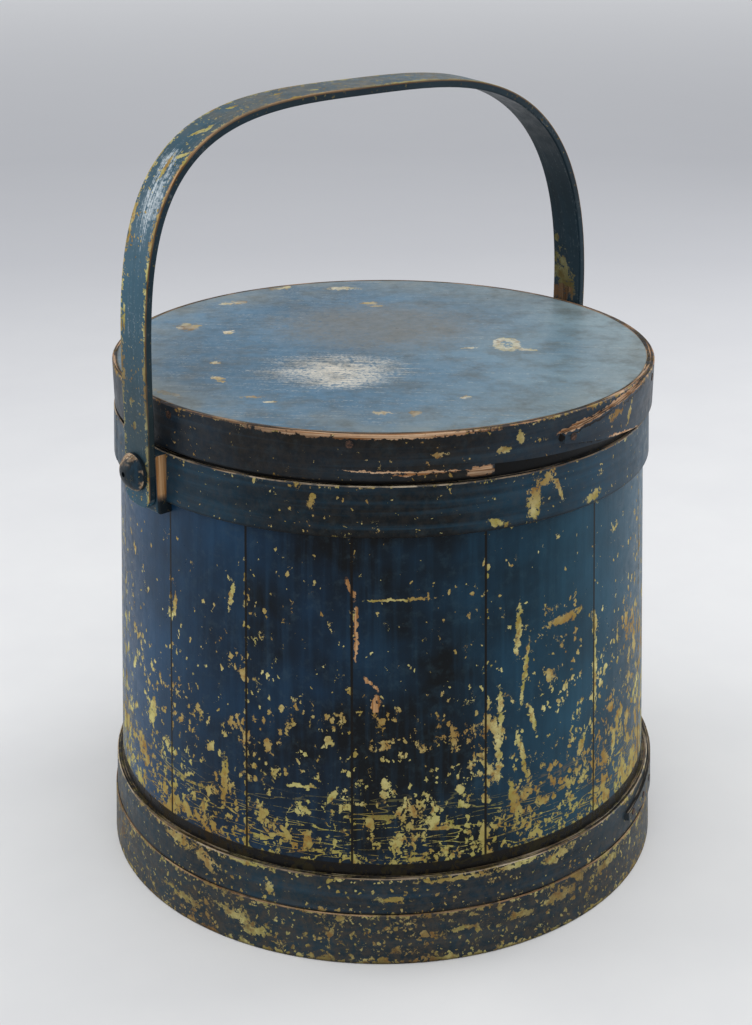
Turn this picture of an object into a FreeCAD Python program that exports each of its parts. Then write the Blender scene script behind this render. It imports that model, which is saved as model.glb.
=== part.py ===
"""Staved wooden pail with a hooped lid and a bent bail that turns on two wooden pegs.

Units are millimetres.  The origin is the centre of the foot, +Z is up, +X runs
along the pegs and -Y is the front.  Angles are degrees about +Z from +X.
"""
import FreeCAD, Part
import math
import os

# ---- Overall sizes -------------------------------------------------------
BODY_HEIGHT = 324.0            # foot of the staves to the rim
FOOT_RADIUS = 182.0            # outside of the staves at the foot
RIM_RADIUS = 165.6             # outside of the staves at the rim

# ---- Staves --------------------------------------------------------------
STAVE_COUNT = 15
STAVE_THICKNESS = 13.0
STAVE_EDGE = 1.5               # bevel at the rim and the foot
FIRST_SEAM = -181.7            # angle of the first seam
SEAM_WANDER = 3.3              # the staves are not all the same width
WANDER_WAVES = 3               # times round that the widths repeat
WANDER_SHIFT = 0.75            # where along the staves the pattern starts

# ---- Bottom --------------------------------------------------------------
CROZE_HEIGHT = 16.0            # groove for the bottom, above the foot
CROZE_WIDTH = 7.0
CROZE_DEPTH = 5.0
BOTTOM_THICKNESS = 12.0
BOTTOM_BEVEL = 7.0
BOTTOM_EASE = 0.3              # bottom to the staves above the groove

# ---- Hoops ---------------------------------------------------------------
FOOT_HOOP_HEIGHT = 34.0
FOOT_HOOP_THICKNESS = 4.8
LOWER_HOOP_HEIGHT = 24.5
LOWER_HOOP_THICKNESS = 3.8
UPPER_HOOP_HEIGHT = 30.5
UPPER_HOOP_THICKNESS = 3.6
HOOP_EDGE = 0.6                # worn bevel on the outer edges
LAP_RISE = 2.4                 # how far the outer layer stands off the inner
LAP_SPAN = 84.0                # angle from the thickest point to the thin end
LAP_LEAD = 10.0                # tongue tip ahead of the thickest point
TIP_FRACTION = 0.23            # width of the tongue tip, of the hoop height
NECK_FRACTION = 0.60           # width of the tongue at its neck
NECK_ANGLE = 12.0              # tip to neck
ROOT_ANGLE = 30.0              # tip to full width
FOOT_LAP = -42.0               # tongue tip of the foot hoop
LOWER_LAP = -72.7              # tongue tip of the lower hoop
UPPER_LAP = 60.0               # tongue tip of the upper hoop
LID_LAP = -95.6                # tongue tip of the lid hoop

# ---- Lid -----------------------------------------------------------------
LID_BOARD_THICKNESS = 12.0
LID_SKIRT = 16.0               # lid hoop below the rim
LID_HOOP_THICKNESS = 3.0
LID_CLEARANCE = 0.6            # lid hoop to the staves at its lower edge
LID_GAP = 2.5                  # lid hoop to the upper hoop
BREAK_START = -109.5           # strip broken off the lower edge of the lid hoop
BREAK_END = -64.2
BREAK_HEIGHT = 6.6

# ---- Bail, pegs and lugs -------------------------------------------------
PEG_DROP = 11.5                # peg axis below the top of the upper hoop
PEG_SETBACK = 8.4              # peg axis behind the middle of the pail
PEG_RADIUS = 6.2
PEG_FIT = 0.05                 # running fit of the bail on the pegs
PEG_PROUD = 4.0                # peg inside the staves
PEG_HEAD_RADIUS = 11.5
PEG_HEAD_HEIGHT = 8.8
PEG_HEAD_RIM = 2.2             # straight edge under the domed head
PEG_DIMPLE_RADIUS = 1.6
PEG_DIMPLE_DEPTH = 2.0
LUG_THICKNESS = 6.9            # lug outside the upper hoop
LUG_BELOW = 6.5                # lug below the upper hoop
LUG_ABOVE = 0.5                # upper hoop above the lug
LUG_ROUND = 2.0
SIDE_PLAY = 0.5                # lug to bail, and bail to peg head
BAIL_THICKNESS = 5.0
BAIL_WIDTH = 25.0
BAIL_RISE = 209.5              # peg axis to the top of the bail
BAIL_SQUARENESS = 3.36         # exponent of the arch
BAIL_LEAN = -24.0              # sideways at the top
BAIL_TILT = 4.0                # forward at rest, degrees
BAIL_TAIL = 22.0               # bail below the peg axis
BAIL_TAIL_ROUND = 9.0
BAIL_EDGE = 1.0                # rounding along its edges
BAIL_STEPS = 36                # points along the arch

# ---- Tacks ---------------------------------------------------------------
TACK_HEAD_RADIUS = 2.3
TACK_HEAD_HEIGHT = 1.0
TACK_PROUD = 0.35
TACK_SHANK_RADIUS = 0.8
TACK_LENGTH = 11.0
TONGUE_TACK_LENGTH = 5.0       # holds the two layers of the lid hoop together
LID_TACK_COUNT = 9
LID_TACK_START = -177.2
LAP_TACK_STEP = 7.0            # angle between tacks along a tongue
LAP_TACK_COUNT = 3

# ---- Sizes that follow ---------------------------------------------------
STAVE_ANGLE = 360.0 / STAVE_COUNT
LID_TOP = BODY_HEIGHT + LID_BOARD_THICKNESS
LID_HOOP_FOOT = BODY_HEIGHT - LID_SKIRT
UPPER_HOOP_TOP = LID_HOOP_FOOT - LID_GAP
UPPER_HOOP_FOOT = UPPER_HOOP_TOP - UPPER_HOOP_HEIGHT
LOWER_HOOP_TOP = FOOT_HOOP_HEIGHT + LOWER_HOOP_HEIGHT
PEG_Z = UPPER_HOOP_TOP - PEG_DROP
AXIS_Z = FreeCAD.Vector(0, 0, 1)
AXIS_X = FreeCAD.Vector(1, 0, 0)
ORIGIN = FreeCAD.Vector(0, 0, 0)
PEG_POINT = FreeCAD.Vector(0, PEG_SETBACK, PEG_Z)


def body_radius(z):
    """Radius of the outside of the staves at height z."""
    return FOOT_RADIUS + (RIM_RADIUS - FOOT_RADIUS) * z / BODY_HEIGHT


LID_BOARD_RADIUS = body_radius(LID_HOOP_FOOT) + LID_CLEARANCE
LID_RADIUS = LID_BOARD_RADIUS + LID_HOOP_THICKNESS
LUG_FACE = body_radius(PEG_Z) + UPPER_HOOP_THICKNESS + LUG_THICKNESS
BAIL_INSIDE = LUG_FACE + SIDE_PLAY
BAIL_OUTSIDE = BAIL_INSIDE + BAIL_THICKNESS
PEG_SEAT = BAIL_OUTSIDE + SIDE_PLAY


def profile_face(points):
    """Flat face in the XZ plane from (radius, height) pairs."""
    corners = [FreeCAD.Vector(r, 0, z) for r, z in points]
    return Part.Face(Part.makePolygon(corners + [corners[0]]))


def turned(points, angle=360.0, start=0.0):
    """Solid turned about +Z from a profile, from the start angle."""
    face = profile_face(points)
    face.rotate(ORIGIN, AXIS_Z, start)
    return face.revolve(ORIGIN, AXIS_Z, angle)


def polar(radius, angle, z):
    """Point at a radius, an angle and a height."""
    turn = math.radians(angle)
    return FreeCAD.Vector(radius * math.cos(turn), radius * math.sin(turn), z)


def seam_angle(index):
    """Angle of a seam between two staves."""
    wave = math.sin(math.tau * WANDER_WAVES * (index - WANDER_SHIFT) / STAVE_COUNT)
    return FIRST_SEAM + STAVE_ANGLE * index - SEAM_WANDER * wave


def save(shape, name):
    """Write one node."""
    shape.exportStep("parts/" + name + ".step")


# ---- Staves and bottom ---------------------------------------------------
def stave(index):
    """One stave, with the croze groove for the bottom."""
    inner_foot = body_radius(0.0) - STAVE_THICKNESS
    inner_rim = body_radius(BODY_HEIGHT) - STAVE_THICKNESS
    groove_top = CROZE_HEIGHT + CROZE_WIDTH
    inner_low = body_radius(CROZE_HEIGHT) - STAVE_THICKNESS
    inner_high = body_radius(groove_top) - STAVE_THICKNESS
    groove = inner_low + CROZE_DEPTH
    outline = [
        (inner_foot + STAVE_EDGE, 0.0),
        (body_radius(0.0), 0.0),
        (body_radius(BODY_HEIGHT - STAVE_EDGE), BODY_HEIGHT - STAVE_EDGE),
        (body_radius(BODY_HEIGHT) - STAVE_EDGE, BODY_HEIGHT),
        (inner_rim + STAVE_EDGE, BODY_HEIGHT),
        (inner_rim, BODY_HEIGHT - STAVE_EDGE),
        (inner_high, groove_top),
        (groove, groove_top),
        (groove, CROZE_HEIGHT),
        (inner_low, CROZE_HEIGHT),
        (inner_foot, STAVE_EDGE),
    ]
    start = seam_angle(index)
    return turned(outline, seam_angle(index + 1) - start, start)


def bottom_disc():
    """Bottom, with its edge cut down to sit in the groove."""
    tongue_top = CROZE_HEIGHT + CROZE_WIDTH
    top = CROZE_HEIGHT + BOTTOM_THICKNESS
    groove = body_radius(CROZE_HEIGHT) - STAVE_THICKNESS + CROZE_DEPTH
    shoulder = body_radius(top) - STAVE_THICKNESS - BOTTOM_EASE
    return turned([
        (0.0, CROZE_HEIGHT),
        (groove, CROZE_HEIGHT),
        (groove, tongue_top),
        (shoulder, tongue_top),
        (shoulder - BOTTOM_BEVEL, top),
        (0.0, top),
    ])


def bottom_board(side):
    """Half of the bottom: side is +1 behind the seam and -1 in front of it."""
    half = Part.makeBox(2 * FOOT_RADIUS, FOOT_RADIUS, BODY_HEIGHT)
    half.translate(FreeCAD.Vector(-FOOT_RADIUS, 0.0 if side > 0 else -FOOT_RADIUS, 0))
    return bottom_disc().common(half)


# ---- Hoops ---------------------------------------------------------------
def tongue_prism(z_low, z_high, tip):
    """Block that trims the outer layer of a hoop to a pointed tongue."""
    reach = FOOT_RADIUS * 2
    middle = (z_low + z_high) / 2
    half = (z_high - z_low) / 2
    radius = body_radius(middle)

    def across(angle):
        return radius * math.sin(math.radians(angle - ROOT_ANGLE))

    upper = [
        (across(0.0), middle + half * TIP_FRACTION),
        (across(NECK_ANGLE), middle + half * NECK_FRACTION),
        (across(ROOT_ANGLE), z_high),
        (reach, z_high),
    ]
    lower = [(u, 2 * middle - z) for u, z in reversed(upper)]
    corners = [FreeCAD.Vector(0, u, z) for u, z in upper + lower]
    face = Part.Face(Part.makePolygon(corners + [corners[0]]))
    block = face.extrude(FreeCAD.Vector(reach, 0, 0))
    block.rotate(ORIGIN, AXIS_Z, tip + ROOT_ANGLE)
    return block


def hoop(inner_at, thickness, z_low, z_high, tip):
    """Bent hoop whose outer end laps over the inner end in a tongue."""
    outer_low = inner_at(z_low) + thickness
    outer_high = inner_at(z_high) + thickness
    outside = [
        (outer_low - HOOP_EDGE, z_low),
        (outer_low, z_low + HOOP_EDGE),
        (outer_high, z_high - HOOP_EDGE),
        (outer_high - HOOP_EDGE, z_high),
    ]
    ring = turned([(inner_at(z_low), z_low)] + outside + [(inner_at(z_high), z_high)])
    plug = turned([(0.0, z_low)] + outside + [(0.0, z_high)])
    layer = plug.copy()
    layer.translate(polar(LAP_RISE, tip + LAP_LEAD, 0.0))
    layer = layer.cut(plug)
    sector = Part.makeCylinder(FOOT_RADIUS * 2, z_high - z_low, ORIGIN, AXIS_Z, LAP_LEAD + LAP_SPAN)
    sector.rotate(ORIGIN, AXIS_Z, tip)
    sector.translate(FreeCAD.Vector(0, 0, z_low))
    layer = layer.common(sector).common(tongue_prism(z_low, z_high, tip))
    return ring.fuse(layer).removeSplitter()


def lid_inside(z):
    """Inside of the lid hoop, the same at every height."""
    return LID_BOARD_RADIUS


def broken_strip():
    """Wedge of wood missing from the lower edge of the lid hoop."""
    middle = (BREAK_START + BREAK_END) / 2
    half = LID_RADIUS * math.sin(math.radians((BREAK_END - BREAK_START) / 2))
    low = LID_HOOP_FOOT - BREAK_HEIGHT
    corners = [
        FreeCAD.Vector(0, -half, low),
        FreeCAD.Vector(0, -half, LID_HOOP_FOOT + BREAK_HEIGHT),
        FreeCAD.Vector(0, 0, LID_HOOP_FOOT + BREAK_HEIGHT * NECK_FRACTION),
        FreeCAD.Vector(0, half, LID_HOOP_FOOT),
        FreeCAD.Vector(0, half, low),
    ]
    face = Part.Face(Part.makePolygon(corners + [corners[0]]))
    wedge = face.extrude(FreeCAD.Vector(LID_RADIUS * 2, 0, 0))
    wedge.rotate(ORIGIN, AXIS_Z, middle)
    return wedge


# ---- Tacks ---------------------------------------------------------------
def tack(radius, angle, z, length=TACK_LENGTH):
    """Iron tack driven in towards the middle, its head almost flush."""
    top = radius + TACK_PROUD
    head = Part.makeCylinder(TACK_HEAD_RADIUS, TACK_HEAD_HEIGHT, ORIGIN, AXIS_X)
    head.translate(FreeCAD.Vector(top - TACK_HEAD_HEIGHT, 0, 0))
    shank = Part.makeCylinder(TACK_SHANK_RADIUS, length, ORIGIN, AXIS_X)
    shank.translate(FreeCAD.Vector(top - length, 0, 0))
    body = head.fuse(shank).removeSplitter()
    body.translate(FreeCAD.Vector(0, 0, z))
    body.rotate(ORIGIN, AXIS_Z, angle)
    return body


def lap_radius(outer, angle_from_tip):
    """Outside of the upper layer at an angle from the tongue tip."""
    return outer + LAP_RISE * math.cos(math.radians(angle_from_tip - LAP_LEAD))


def lap_tacks(outer, z, tip):
    """Tacks along a tongue."""
    angles = [LAP_TACK_STEP * (step + 0.5) for step in range(LAP_TACK_COUNT)]
    return [tack(lap_radius(outer, angle), tip + angle, z) for angle in angles]


def tongue_tack():
    """Short tack at the tip of the tongue of the lid hoop."""
    angle = LAP_TACK_STEP / 2
    middle = (LID_HOOP_FOOT + LID_TOP) / 2
    return tack(lap_radius(LID_RADIUS, angle), LID_LAP + angle, middle, TONGUE_TACK_LENGTH)


def rim_tacks():
    """Tacks through the lid hoop into the edge of the lid board."""
    z = BODY_HEIGHT + LID_BOARD_THICKNESS / 2
    step = 360.0 / LID_TACK_COUNT
    angles = [LID_TACK_START + step * index for index in range(LID_TACK_COUNT)]
    tip_end = LID_LAP + LAP_LEAD + LAP_SPAN
    group = []
    for angle in angles:
        if abs(angle - LID_LAP) < LAP_TACK_STEP:
            continue
        on_lap = LID_LAP < angle < tip_end
        radius = lap_radius(LID_RADIUS, angle - LID_LAP) if on_lap else LID_RADIUS
        group.append(tack(radius, angle, z))
    return group


# ---- Pegs, lugs and bail -------------------------------------------------
def mirrored(shape, side):
    """The shape for the +X side, or its mirror image for the -X side."""
    return shape if side > 0 else shape.mirror(ORIGIN, AXIS_X)


def peg(side):
    """Turned peg with a domed head outside the bail."""
    inner_end = body_radius(PEG_Z) - STAVE_THICKNESS - PEG_PROUD
    dome_rise = PEG_HEAD_HEIGHT - PEG_HEAD_RIM
    ball_radius = (PEG_HEAD_RADIUS ** 2 + dome_rise ** 2) / (2 * dome_rise)
    shank = Part.makeCylinder(PEG_RADIUS, PEG_SEAT - inner_end, ORIGIN, AXIS_X)
    shank.translate(FreeCAD.Vector(inner_end, 0, 0))
    head = Part.makeCylinder(PEG_HEAD_RADIUS, PEG_HEAD_HEIGHT, ORIGIN, AXIS_X)
    ball = Part.makeSphere(ball_radius)
    ball.translate(FreeCAD.Vector(PEG_HEAD_HEIGHT - ball_radius, 0, 0))
    dimple = Part.makeCylinder(PEG_DIMPLE_RADIUS, PEG_DIMPLE_DEPTH, ORIGIN, AXIS_X)
    dimple.translate(FreeCAD.Vector(PEG_HEAD_HEIGHT - PEG_DIMPLE_DEPTH, 0, 0))
    head = head.common(ball).cut(dimple)
    head.translate(FreeCAD.Vector(PEG_SEAT, 0, 0))
    body = shank.fuse(head).removeSplitter()
    body.translate(PEG_POINT)
    return mirrored(body, side)


def peg_bore(side, radius):
    """Bore for a peg shank."""
    bore = Part.makeCylinder(radius, LID_RADIUS, PEG_POINT, AXIS_X)
    bore.translate(FreeCAD.Vector(LID_RADIUS / 2, 0, 0))
    return mirrored(bore, side)


def lug(side):
    """Block that keeps the bail clear of the upper hoop."""
    foot = UPPER_HOOP_FOOT - LUG_BELOW
    height = UPPER_HOOP_TOP - LUG_ABOVE - foot
    depth = LUG_FACE - body_radius(BODY_HEIGHT) + STAVE_THICKNESS
    block = Part.makeBox(depth, BAIL_WIDTH, height)
    outer = [edge for edge in block.Edges if edge.BoundBox.XMin > depth / 2]
    block = block.makeFillet(LUG_ROUND, outer)
    block.translate(FreeCAD.Vector(LUG_FACE - depth, PEG_SETBACK - BAIL_WIDTH / 2, foot))
    staves = turned([
        (0.0, 0.0),
        (body_radius(0.0), 0.0),
        (body_radius(BODY_HEIGHT), BODY_HEIGHT),
        (0.0, BODY_HEIGHT),
    ])
    band_low = body_radius(UPPER_HOOP_FOOT) + UPPER_HOOP_THICKNESS
    band_high = body_radius(UPPER_HOOP_TOP) + UPPER_HOOP_THICKNESS
    band = turned([
        (0.0, UPPER_HOOP_FOOT),
        (band_low - HOOP_EDGE, UPPER_HOOP_FOOT),
        (band_low, UPPER_HOOP_FOOT + HOOP_EDGE),
        (band_high, UPPER_HOOP_TOP - HOOP_EDGE),
        (band_high - HOOP_EDGE, UPPER_HOOP_TOP),
        (0.0, UPPER_HOOP_TOP),
    ])
    block = block.cut(staves).cut(band).cut(peg_bore(1, PEG_RADIUS))
    return mirrored(block, side)


def arch_point(turn, inset):
    """Point on the arch of the bail, set in from its outside."""
    power = 2.0 / BAIL_SQUARENESS
    half = BAIL_OUTSIDE

    def outline(angle):
        across = math.copysign(abs(math.cos(angle)) ** power, math.cos(angle))
        up = abs(math.sin(angle)) ** power
        return FreeCAD.Vector(half * across + BAIL_LEAN * up * up, 0, BAIL_RISE * up)

    nudge = math.pi / (BAIL_STEPS * BAIL_STEPS)
    ahead = outline(min(turn + nudge, math.pi))
    behind = outline(max(turn - nudge, 0.0))
    along = (ahead - behind).normalize()
    inward = FreeCAD.Vector(-along.z, 0, along.x)
    return outline(turn) + inward * inset


def arch_curve(inset):
    """Smooth curve over the arch from the +X leg to the -X leg."""
    turns = [math.pi * step / BAIL_STEPS for step in range(1, BAIL_STEPS)]
    end = BAIL_OUTSIDE - inset
    points = [FreeCAD.Vector(end, 0, 0)]
    points += [arch_point(turn, inset) for turn in turns]
    points += [FreeCAD.Vector(-end, 0, 0)]
    curve = Part.BSplineCurve()
    up = FreeCAD.Vector(0, 0, 1)
    curve.interpolate(Points=points, InitialTangent=up, FinalTangent=-up)
    return curve.toShape()


def bail():
    """Bent strap with a bored tail at each end."""
    outside = BAIL_OUTSIDE
    inside = BAIL_INSIDE
    edges = [arch_curve(0.0), arch_curve(BAIL_THICKNESS)]
    for side in (1, -1):
        outer_top = FreeCAD.Vector(side * outside, 0, 0)
        outer_end = FreeCAD.Vector(side * outside, 0, -BAIL_TAIL)
        inner_end = FreeCAD.Vector(side * inside, 0, -BAIL_TAIL)
        inner_top = FreeCAD.Vector(side * inside, 0, 0)
        edges.append(Part.makeLine(outer_top, outer_end))
        edges.append(Part.makeLine(outer_end, inner_end))
        edges.append(Part.makeLine(inner_end, inner_top))
    face = Part.Face(Part.Wire(Part.__sortEdges__(edges)))
    strap = face.extrude(FreeCAD.Vector(0, BAIL_WIDTH, 0))
    strap.translate(FreeCAD.Vector(0, -BAIL_WIDTH / 2, 0))
    ends = [edge for edge in strap.Edges if is_tail_corner(edge)]
    strap = strap.makeFillet(BAIL_TAIL_ROUND, ends)
    strap = strap.makeFillet(BAIL_EDGE, [edge for edge in strap.Edges if edge.Length > BAIL_RISE])
    strap.translate(PEG_POINT)
    for side in (1, -1):
        strap = strap.cut(peg_bore(side, PEG_RADIUS + PEG_FIT))
    strap.rotate(PEG_POINT, AXIS_X, BAIL_TILT)
    return strap


def is_tail_corner(edge):
    """Whether an edge crosses the thickness of the bail at a tail corner."""
    box = edge.BoundBox
    at_end = box.ZMax < -BAIL_TAIL / 2
    crosses = box.XLength > BAIL_THICKNESS / 2 and box.YLength < BAIL_THICKNESS / 2
    return at_end and crosses


# ---- Pieces --------------------------------------------------------------
def main():
    """Build every node and write it."""
    os.makedirs("parts", exist_ok=True)
    bores = [peg_bore(side, PEG_RADIUS) for side in (1, -1)]

    foot_outer = body_radius(FOOT_HOOP_HEIGHT / 2) + FOOT_HOOP_THICKNESS
    foot_tacks = lap_tacks(foot_outer, FOOT_HOOP_HEIGHT / 2, FOOT_LAP)
    lower_middle = (FOOT_HOOP_HEIGHT + LOWER_HOOP_TOP) / 2
    lower_outer = body_radius(lower_middle) + LOWER_HOOP_THICKNESS
    lower_tacks = lap_tacks(lower_outer, lower_middle, LOWER_LAP)
    upper_middle = (UPPER_HOOP_FOOT + UPPER_HOOP_TOP) / 2
    upper_outer = body_radius(upper_middle) + UPPER_HOOP_THICKNESS
    upper_tacks = lap_tacks(upper_outer, upper_middle, UPPER_LAP)
    lid_tacks = rim_tacks() + [tongue_tack()]

    body_tacks = Part.makeCompound(foot_tacks + lower_tacks + upper_tacks)
    for index in range(STAVE_COUNT):
        piece = stave(index).cut(body_tacks)
        for bore in bores:
            piece = piece.cut(bore)
        save(piece, "stave_%02d" % (index + 1))
    save(bottom_board(1), "bottom_board_rear")
    save(bottom_board(-1), "bottom_board_front")

    foot_hoop = hoop(body_radius, FOOT_HOOP_THICKNESS, 0.0, FOOT_HOOP_HEIGHT, FOOT_LAP)
    save(foot_hoop.cut(body_tacks), "foot_hoop")
    lower_hoop = hoop(body_radius, LOWER_HOOP_THICKNESS, FOOT_HOOP_HEIGHT, LOWER_HOOP_TOP, LOWER_LAP)
    save(lower_hoop.cut(body_tacks), "lower_hoop")
    upper_hoop = hoop(body_radius, UPPER_HOOP_THICKNESS, UPPER_HOOP_FOOT, UPPER_HOOP_TOP, UPPER_LAP)
    upper_hoop = upper_hoop.cut(body_tacks)
    for bore in bores:
        upper_hoop = upper_hoop.cut(bore)
    save(upper_hoop, "upper_hoop")
    save(Part.makeCompound(foot_tacks), "foot_hoop_tacks")
    save(Part.makeCompound(lower_tacks), "lower_hoop_tacks")
    save(Part.makeCompound(upper_tacks), "upper_hoop_tacks")

    all_lid_tacks = Part.makeCompound(lid_tacks)
    lid_board = Part.makeCylinder(LID_BOARD_RADIUS, LID_BOARD_THICKNESS)
    lid_board.translate(FreeCAD.Vector(0, 0, BODY_HEIGHT))
    save(lid_board.cut(all_lid_tacks), "lid_board")
    lid_hoop = hoop(lid_inside, LID_HOOP_THICKNESS, LID_HOOP_FOOT, LID_TOP, LID_LAP)
    save(lid_hoop.cut(broken_strip()).cut(all_lid_tacks), "lid_hoop")
    save(all_lid_tacks, "lid_tacks")

    save(peg(-1), "peg_left")
    save(peg(1), "peg_right")
    save(lug(-1), "lug_left")
    save(lug(1), "lug_right")
    save(bail(), "bail")


main()
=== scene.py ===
"""Looks of a painted staved firkin with a hooped lid and a bent bail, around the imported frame.

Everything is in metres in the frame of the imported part.  The finishes work in
millimetres.  Angles round the pail are degrees from its worn side, positive to
the right as one faces that side.
"""
import logging
import math
from dataclasses import dataclass
from enum import Enum
from typing import Dict, List, Optional, Sequence, Tuple, Union

import bpy
import bmesh
from mathutils import Matrix, Vector


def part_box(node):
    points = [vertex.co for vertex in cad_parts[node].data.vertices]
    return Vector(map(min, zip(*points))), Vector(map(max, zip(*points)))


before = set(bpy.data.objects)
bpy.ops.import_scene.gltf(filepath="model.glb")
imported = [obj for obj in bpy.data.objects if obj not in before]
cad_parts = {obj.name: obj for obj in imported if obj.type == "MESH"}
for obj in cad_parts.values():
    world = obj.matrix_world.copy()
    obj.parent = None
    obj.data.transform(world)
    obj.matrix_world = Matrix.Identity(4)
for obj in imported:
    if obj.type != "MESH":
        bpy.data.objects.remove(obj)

LOG = logging.getLogger("firkin")
MM = 0.001
WORN_SIDE = 41.2  # degrees about +Z from the frame's front to the worn side
FOOT_RADIUS = 182.0  # outside of the staves at the floor, in millimetres
STAVE_SLOPE = -0.0506  # change of that radius for each millimetre up
BOARD_RADIUS = 167.0  # edge of the lid board, in millimetres
BARE_DEPTH = (1.2, 2.0)  # millimetres inside the staves where the paint ends

Socket = bpy.types.NodeSocket
Tree = bpy.types.NodeTree
Colour = Tuple[float, float, float, float]
Value = Union[Socket, float, Sequence[float], None]
Tint = Union[Socket, str]  # a socket, or an sRGB hex colour


class Kind(str, Enum):
    """Shader nodes used by the finishes."""

    BUMP = "ShaderNodeBump"
    COORDS = "ShaderNodeTexCoord"
    COMBINE = "ShaderNodeCombineXYZ"
    MAPPING = "ShaderNodeMapping"
    MATH = "ShaderNodeMath"
    MIX = "ShaderNodeMixRGB"
    NOISE = "ShaderNodeTexNoise"
    OUTPUT = "ShaderNodeOutputMaterial"
    RANGE = "ShaderNodeMapRange"
    SEPARATE = "ShaderNodeSeparateXYZ"
    SHADER = "ShaderNodeBsdfPrincipled"
    VECTOR = "ShaderNodeVectorMath"
    VORONOI = "ShaderNodeTexVoronoi"


def linear(hex_colour: str) -> Colour:
    """Linear light of an sRGB hex colour, with an alpha of one."""
    parts = [int(hex_colour[i : i + 2], 16) / 255.0 for i in (1, 3, 5)]
    light = [c / 12.92 if c <= 0.04045 else ((c + 0.055) / 1.055) ** 2.4 for c in parts]
    return (light[0], light[1], light[2], 1.0)


def put(
    tree: Tree,
    kind: Kind,
    *values: Value,
    out: Union[int, str] = 0,
    named: Optional[Dict[str, Value]] = None,
    **settings: object,
) -> Optional[Socket]:
    """Add one node with its settings and links.

    Args:
        tree: Node tree that gets the node.
        kind: Node to add.
        *values: Sockets or plain values for its inputs, in order.
        out: Output to hand back.
        named: Sockets or plain values for inputs by name.
        **settings: Properties of the node.

    Returns:
        The chosen output socket, or None for a node without outputs.
    """
    node = tree.nodes.new(kind.value)
    for name, setting in settings.items():
        setattr(node, name, setting)
    pairs = [(node.inputs[i], v) for i, v in enumerate(values)]
    pairs += [(node.inputs[key], v) for key, v in (named or {}).items()]
    for socket, value in pairs:
        if isinstance(value, bpy.types.NodeSocket):
            tree.links.new(value, socket)
        elif value is not None:
            socket.default_value = value
    return node.outputs[out] if node.outputs else None


def times(tree: Tree, first: Value, second: Value) -> Socket:
    """Product of two values."""
    return put(tree, Kind.MATH, first, second, operation="MULTIPLY")


def plus(tree: Tree, first: Value, second: Value) -> Socket:
    """Sum of two values."""
    return put(tree, Kind.MATH, first, second, operation="ADD")


def minus(tree: Tree, first: Value, second: Value) -> Socket:
    """First value less the second."""
    return put(tree, Kind.MATH, first, second, operation="SUBTRACT")


def larger(tree: Tree, first: Value, second: Value) -> Socket:
    """Larger of two values."""
    return put(tree, Kind.MATH, first, second, operation="MAXIMUM")


def ramp(tree: Tree, value: Value, low: float, high: float, start: float, end: float) -> Socket:
    """Straight line from start at the low value to end at the high one, flat outside."""
    return put(tree, Kind.RANGE, value, low, high, start, end)


def mix(tree: Tree, share: Value, first: Tint, second: Tint) -> Socket:
    """Mixture of two colours, with a share of the second."""
    ends = [linear(tint) if isinstance(tint, str) else tint for tint in (first, second)]
    return put(tree, Kind.MIX, share, *ends)


def clouds(tree: Tree, place: Socket, size: float, detail: float, roughness: float) -> Socket:
    """Noise around one half, its size in the unit of the place."""
    return put(tree, Kind.NOISE, place, None, 1.0 / size, detail, roughness)


def bumped(tree: Tree, height: Socket, strength: float, depth: float) -> Socket:
    """Normal tilted by a height, which is the depth in millimetres at one."""
    heights = {"Strength": strength, "Distance": depth * MM, "Height": height}
    return put(tree, Kind.BUMP, named=heights, out="Normal")


def fresh(name: str) -> Tuple[bpy.types.Material, Tree]:
    """New material with an empty node tree."""
    material = bpy.data.materials.new(name)
    material.use_nodes = True
    material.node_tree.nodes.clear()
    return material, material.node_tree


# ---- Wear ----
@dataclass(frozen=True)
class Mark:
    """One worn, scuffed or scratched place.

    Attributes:
        along: Degrees round the pail, or millimetres to the right on the lid.
        up: Millimetres above the floor, or away on the lid.
        half_long: Half length in millimetres.
        half_wide: Half width in millimetres.
        turn: Degrees from level, anticlockwise.
    """

    along: float
    up: float
    half_long: float
    half_wide: float
    turn: float = 0.0


@dataclass(frozen=True)
class Coats:
    """Colours of the coats of old oil paint and of the wood under them."""

    top: str = "#1d4160"
    top_dark: str = "#0a1015"
    top_pale: str = "#2f536f"
    under: str = "#a09852"
    under_pale: str = "#d8d19b"
    under_brown: str = "#87602a"
    wood: str = "#8f6234"
    wood_pale: str = "#c29a70"
    # Near-black for dirt in the wood, and for dirt and painted shade on the paint.
    grime_and_shade: str = "#0f0c09"
    chalk: str = "#d9d6cc"


def band(tree: Tree, value: Socket, low: float, high: float, soft: float) -> Socket:
    """One between two limits, falling to zero over a soft edge outside them."""
    rising = ramp(tree, value, low - soft, low, 0.0, 1.0)
    falling = ramp(tree, value, high, high + soft, 1.0, 0.0)
    return times(tree, rising, falling)


def nearest_mark(
    tree: Tree, skin: Socket, marks: Sequence[Mark], reach: float
) -> Socket:
    """Distance to the nearest mark as a share of its half size, below one inside it.

    The place is in millimetres, and reach is millimetres for one unit of along.
    """
    nearest: Optional[Socket] = None
    for mark in marks:
        local = put(
            tree,
            Kind.MAPPING,
            skin,
            (mark.along * reach, mark.up, 0.0),
            (0.0, 0.0, math.radians(mark.turn)),
            (mark.half_long, mark.half_wide, 1.0),
            vector_type="TEXTURE",
        )
        share = put(tree, Kind.VECTOR, local, operation="LENGTH", out="Value")
        if nearest is None:
            nearest = share
        else:
            nearest = put(tree, Kind.MATH, nearest, share, operation="MINIMUM")
    return nearest


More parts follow.
